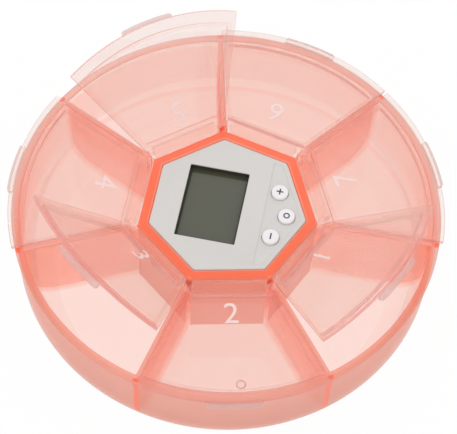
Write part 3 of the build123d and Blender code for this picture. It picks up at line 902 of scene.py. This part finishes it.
# Pad-printed ink: a thin, satin layer whose tone and height are uneven over 0.56 mm.
def printed_ink(name, tint):
    material, tree, place = started(name)
    patch = add(tree, "TexNoise", Vector=place, Scale=per(0.5556), Detail=4.0)
    body = add(tree, "BsdfPrincipled", Base_Color=add(tree, "Mix", patch, *swing(tint, 0.05), data_type="RGBA"),
               Roughness=add(tree, "MapRange", Value=patch, To_Min=0.4, To_Max=0.6),
               Normal=add(tree, "Bump", Height=patch, Distance=0.008 * MM))
    add(tree, "OutputMaterial", Surface=body)
    return material


# Dark strip of painted shade round the display, drawn as closed-cell rubber foam, die cut: dull, with cut bubbles of
# 0.22 mm on its sides.
def foam_strip(name, tint):
    material, tree, place = started(name)
    cells = add(tree, "TexVoronoi", Vector=place, Scale=per(0.2222))
    body = add(tree, "BsdfPrincipled", Base_Color=add(tree, "Mix", cells, *swing(tint, 0.2), data_type="RGBA"),
               Roughness=0.9, Normal=add(tree, "Bump", Height=cells, Distance=0.03 * MM))
    add(tree, "OutputMaterial", Surface=body)
    return material


# Liquid crystal glass: a grey-green reflector with a grain of 0.11 mm, under a polished glass and polariser.
def display_glass(name, tint):
    material, tree, place = started(name)
    film = add(tree, "TexNoise", Vector=place, Scale=per(0.1111))
    broad = add(tree, "TexNoise", Vector=place, Scale=per(33.33))
    tone = add(tree, "Mix", broad, *swing(tint, 0.02), data_type="RGBA")
    grain = add(tree, "Mix", film, *swing(linear("#FFFFFF"), 0.05), data_type="RGBA")
    body = add(tree, "BsdfPrincipled", Roughness=0.45, IOR=1.5, Coat_Weight=1.0, Coat_Roughness=0.04, Coat_IOR=1.5,
               Base_Color=add(tree, "Mix", 1.0, tone, grain, data_type="RGBA", blend_type="MULTIPLY"),
               Normal=add(tree, "Bump", Height=film, Distance=0.003 * MM))
    add(tree, "OutputMaterial", Surface=body)
    return material


# Rolled sheet metal, nickel plated or bare: bright, with lines 0.17 mm apart along the rolling and stains of
# 2.5 mm. Real lines are nearer 0.02 mm and wouldn't show.
def metal(name, code, roughness):
    material, tree, place = started(name)
    stretched = add(tree, "Mapping", Vector=place, Scale=(per(3.33), per(0.167), per(3.33)))
    lines = add(tree, "TexNoise", Vector=stretched, Scale=1.0, Detail=3.0)
    stain = add(tree, "TexNoise", Vector=place, Scale=per(2.5))
    body = add(tree, "BsdfPrincipled", Metallic=1.0,
               Base_Color=add(tree, "Mix", stain, *swing(linear(code), 0.06), data_type="RGBA"),
               Roughness=add(tree, "MapRange", Value=lines, To_Min=roughness - 0.08, To_Max=roughness + 0.1),
               Normal=add(tree, "Bump", Height=lines, Distance=0.002 * MM))
    add(tree, "OutputMaterial", Surface=body)
    return material


# Glass-fibre laminate under a green solder mask: copper tracks 1 mm apart, a quarter of the pattern's cell,
# stand out by their height and a lighter green, over the weave's 0.33 mm.
def board_laminate(name, tint):
    material, tree, place = started(name)
    tracks = add(tree, "TexBrick", Vector=place, Scale=per(3.85), Mortar_Size=0.06, Mortar_Smooth=0.3).outputs["Fac"]
    weave = add(tree, "TexNoise", Vector=place, Scale=per(0.3333))
    bare = add(tree, "Mix", weave, *swing(tint, 0.1), data_type="RGBA")
    copper = [c * 1.5 for c in tint[:3]] + [1.0]
    relief = add(tree, "Bump", Height=weave, Distance=0.005 * MM)
    body = add(tree, "BsdfPrincipled", Base_Color=add(tree, "Mix", tracks, bare, copper, data_type="RGBA"),
               Roughness=0.35, IOR=1.5, Normal=add(tree, "Bump", Height=tracks, Distance=0.03 * MM, Normal=relief))
    add(tree, "OutputMaterial", Surface=body)
    return material


# Silicone contact strip, cut from a stack of dark conducting and pale layers. A real layer is 0.05 mm; a
# pair is drawn 0.35 mm wide, and the pattern's cell holds 3.2 of them.
def zebra_rubber(name):
    material, tree, place = started(name)
    across = add(tree, "Mapping", Vector=place, Rotation=(0, 0, radians(-TIMER_TURN)))
    layers = add(tree, "TexWave", Vector=across, Scale=per(1.11), Distortion=0.3).outputs["Fac"]
    tone = add(tree, "Mix", layers, linear("#2A2A2C"), linear("#B9A9A4"), data_type="RGBA")
    body = add(tree, "BsdfPrincipled", Base_Color=tone, Roughness=0.7,
               Normal=add(tree, "Bump", Height=layers, Distance=0.01 * MM))
    add(tree, "OutputMaterial", Surface=body)
    return material


# Heat-proof nylon of tact switches: dull black bodies under brown plungers, told apart by height, with the
# 0.25 mm grain of the mould.
PLUNGER_Z = 23.11


def switch_plastic(name):
    material, tree, place = started(name)
    height = add(tree, "SeparateXYZ", place).outputs["Z"]
    plunger = add(tree, "Math", height, PLUNGER_Z * MM, operation="GREATER_THAN")
    skin = add(tree, "TexNoise", Vector=place, Scale=per(0.25))
    tone = add(tree, "Mix", plunger, linear("#232326"), linear("#7A4A33"), data_type="RGBA")
    body = add(tree, "BsdfPrincipled", Base_Color=tone,
               Roughness=add(tree, "MapRange", Value=skin, To_Min=0.4, To_Max=0.6),
               Normal=add(tree, "Bump", Height=skin, Distance=0.006 * MM))
    add(tree, "OutputMaterial", Surface=body)
    return material


# Epoxy, poured as a drop and cured: near-black gloss with ripples of 2 mm.
def black_epoxy(name):
    material, tree, place = started(name)
    ripple = add(tree, "TexNoise", Vector=place, Scale=per(2.0))
    body = add(tree, "BsdfPrincipled",
               Base_Color=add(tree, "Mix", ripple, *swing(linear("#141416"), 0.3), data_type="RGBA"),
               Roughness=add(tree, "MapRange", Value=ripple, To_Min=0.12, To_Max=0.3),
               Normal=add(tree, "Bump", Height=ripple, Distance=0.03 * MM))
    add(tree, "OutputMaterial", Surface=body)
    return material


# ---------------------------------------------------------------- stage
# focal length as a share of the frame's width, distance and offsets in mm, angles in degrees
CAMERA = dict(focal=3.9309, distance=504.63, elevation=58.59, azimuth=-4.98, roll=3.61, across=1.0, up=6.08)
SENSOR = 36.0
LAMPS = {"key": ((-0.45, -0.25, 0.75), 0.5, 0.9), "fill": ((0.5, -0.3, 0.6), 0.6, 0.25)}   # place, size, watts
SKY = 0.9
PAPER = 8.0                    # width of the floor in metres
PAPER_LIFT = 0.97              # share of pure white in the floor where it is seen


def seen(tree):
    """1 on rays that a viewer sees directly, by reflection or through clear plastic."""
    path = add(tree, "LightPath").outputs
    either = add(tree, "Math", path["Is Camera Ray"], path["Is Glossy Ray"], operation="ADD")
    return add(tree, "Math", either, path["Is Transmission Ray"], operation="ADD", use_clamp=True)


def paper_floor():
    material, tree = started("paper_floor")[:2]
    matt = add(tree, "BsdfDiffuse", Color=linear("#F2F2F2"))
    white = add(tree, "Emission", Strength=1.0)
    lift = add(tree, "Math", seen(tree), PAPER_LIFT, operation="MULTIPLY")
    add(tree, "OutputMaterial", Surface=add(tree, "MixShader", lift, matt, white))
    deselect()
    bpy.ops.mesh.primitive_plane_add(size=PAPER)
    floor = bpy.context.object
    floor.name = "paper_floor"
    floor.data.materials.append(material)


def sky():
    world = bpy.data.worlds.new("studio")
    bpy.context.scene.world = world
    world.use_nodes = True
    tree = world.node_tree
    tree.nodes.clear()
    light = add(tree, "Background", Color=(1, 1, 1, 1), Strength=SKY)
    white = add(tree, "Background", Color=(1, 1, 1, 1), Strength=1.0)
    add(tree, "OutputWorld", Surface=add(tree, "MixShader", seen(tree), light, white))


def camera():
    az, el, roll = (radians(CAMERA[k]) for k in ("azimuth", "elevation", "roll"))
    back = Vector((sin(az) * cos(el), -cos(az) * cos(el), sin(el)))
    right = (-back).cross(Vector((0, 0, 1))).normalized()
    up = right.cross(-back)
    right, up = right * cos(roll) + up * sin(roll), up * cos(roll) - right * sin(roll)
    place = Vector((0, 0, 10)) + back * CAMERA["distance"] + right * CAMERA["across"] + up * CAMERA["up"]
    bpy.ops.object.camera_add()
    eye = bpy.context.object
    eye.name = "camera"
    eye.matrix_world = Matrix.Translation(place * MM) @ Matrix((right, up, back)).transposed().to_4x4()
    eye.data.sensor_width = SENSOR
    eye.data.lens = CAMERA["focal"] * SENSOR
    eye.data.clip_start = 0.01
    bpy.context.scene.camera = eye


class PILLBOX_OT_stage(bpy.types.Operator):
    """Set up the white floor, the soft lamps and the camera"""
    bl_idname = "pillbox.stage"
    bl_label = "Stage"

    def execute(self, context):
        context.scene.view_settings.view_transform = "Standard"
        paper_floor()
        sky()
        camera()
        for name, (place, size, power) in LAMPS.items():
            bpy.ops.object.light_add(type="AREA", location=place)
            lamp = bpy.context.object
            lamp.name = name
            lamp.data.size = size
            lamp.data.energy = power
            lamp.rotation_mode = "QUATERNION"
            lamp.rotation_quaternion = Vector(place).to_track_quat("Z", "Y")
        return {"FINISHED"}


# ---------------------------------------------------------------- panel and registration
STEPS = (PILLBOX_OT_stage, PILLBOX_OT_tray, PILLBOX_OT_lids, PILLBOX_OT_timer_face, PILLBOX_OT_keys,
         PILLBOX_OT_display, PILLBOX_OT_works)


class PILLBOX_PT_sidebar(bpy.types.Panel):
    bl_label = "Pill box"
    bl_idname = "PILLBOX_PT_sidebar"
    bl_space_type = "VIEW_3D"
    bl_region_type = "UI"
    bl_category = "Pill box"

    def draw(self, context):
        for group in (context.scene.pill_box_sizes, context.scene.pill_box_finish):
            box = self.layout.box()
            for name in type(group).__annotations__:
                box.prop(group, name)
        for step in STEPS:
            self.layout.operator(step.bl_idname)


CLASSES = (PillBoxSizes, PillBoxFinish, *STEPS, PILLBOX_PT_sidebar)


def register():
    for item in CLASSES:
        bpy.utils.register_class(item)
    bpy.types.Scene.pill_box_sizes = PointerProperty(type=PillBoxSizes)
    bpy.types.Scene.pill_box_finish = PointerProperty(type=PillBoxFinish)


def unregister():
    del bpy.types.Scene.pill_box_sizes
    del bpy.types.Scene.pill_box_finish
    for item in reversed(CLASSES):
        bpy.utils.unregister_class(item)


def main():
    register()
    deselect()
    for step in STEPS:
        getattr(bpy.ops.pillbox, step.bl_idname.partition(".")[2])()


if __name__ == "__main__":
    main()
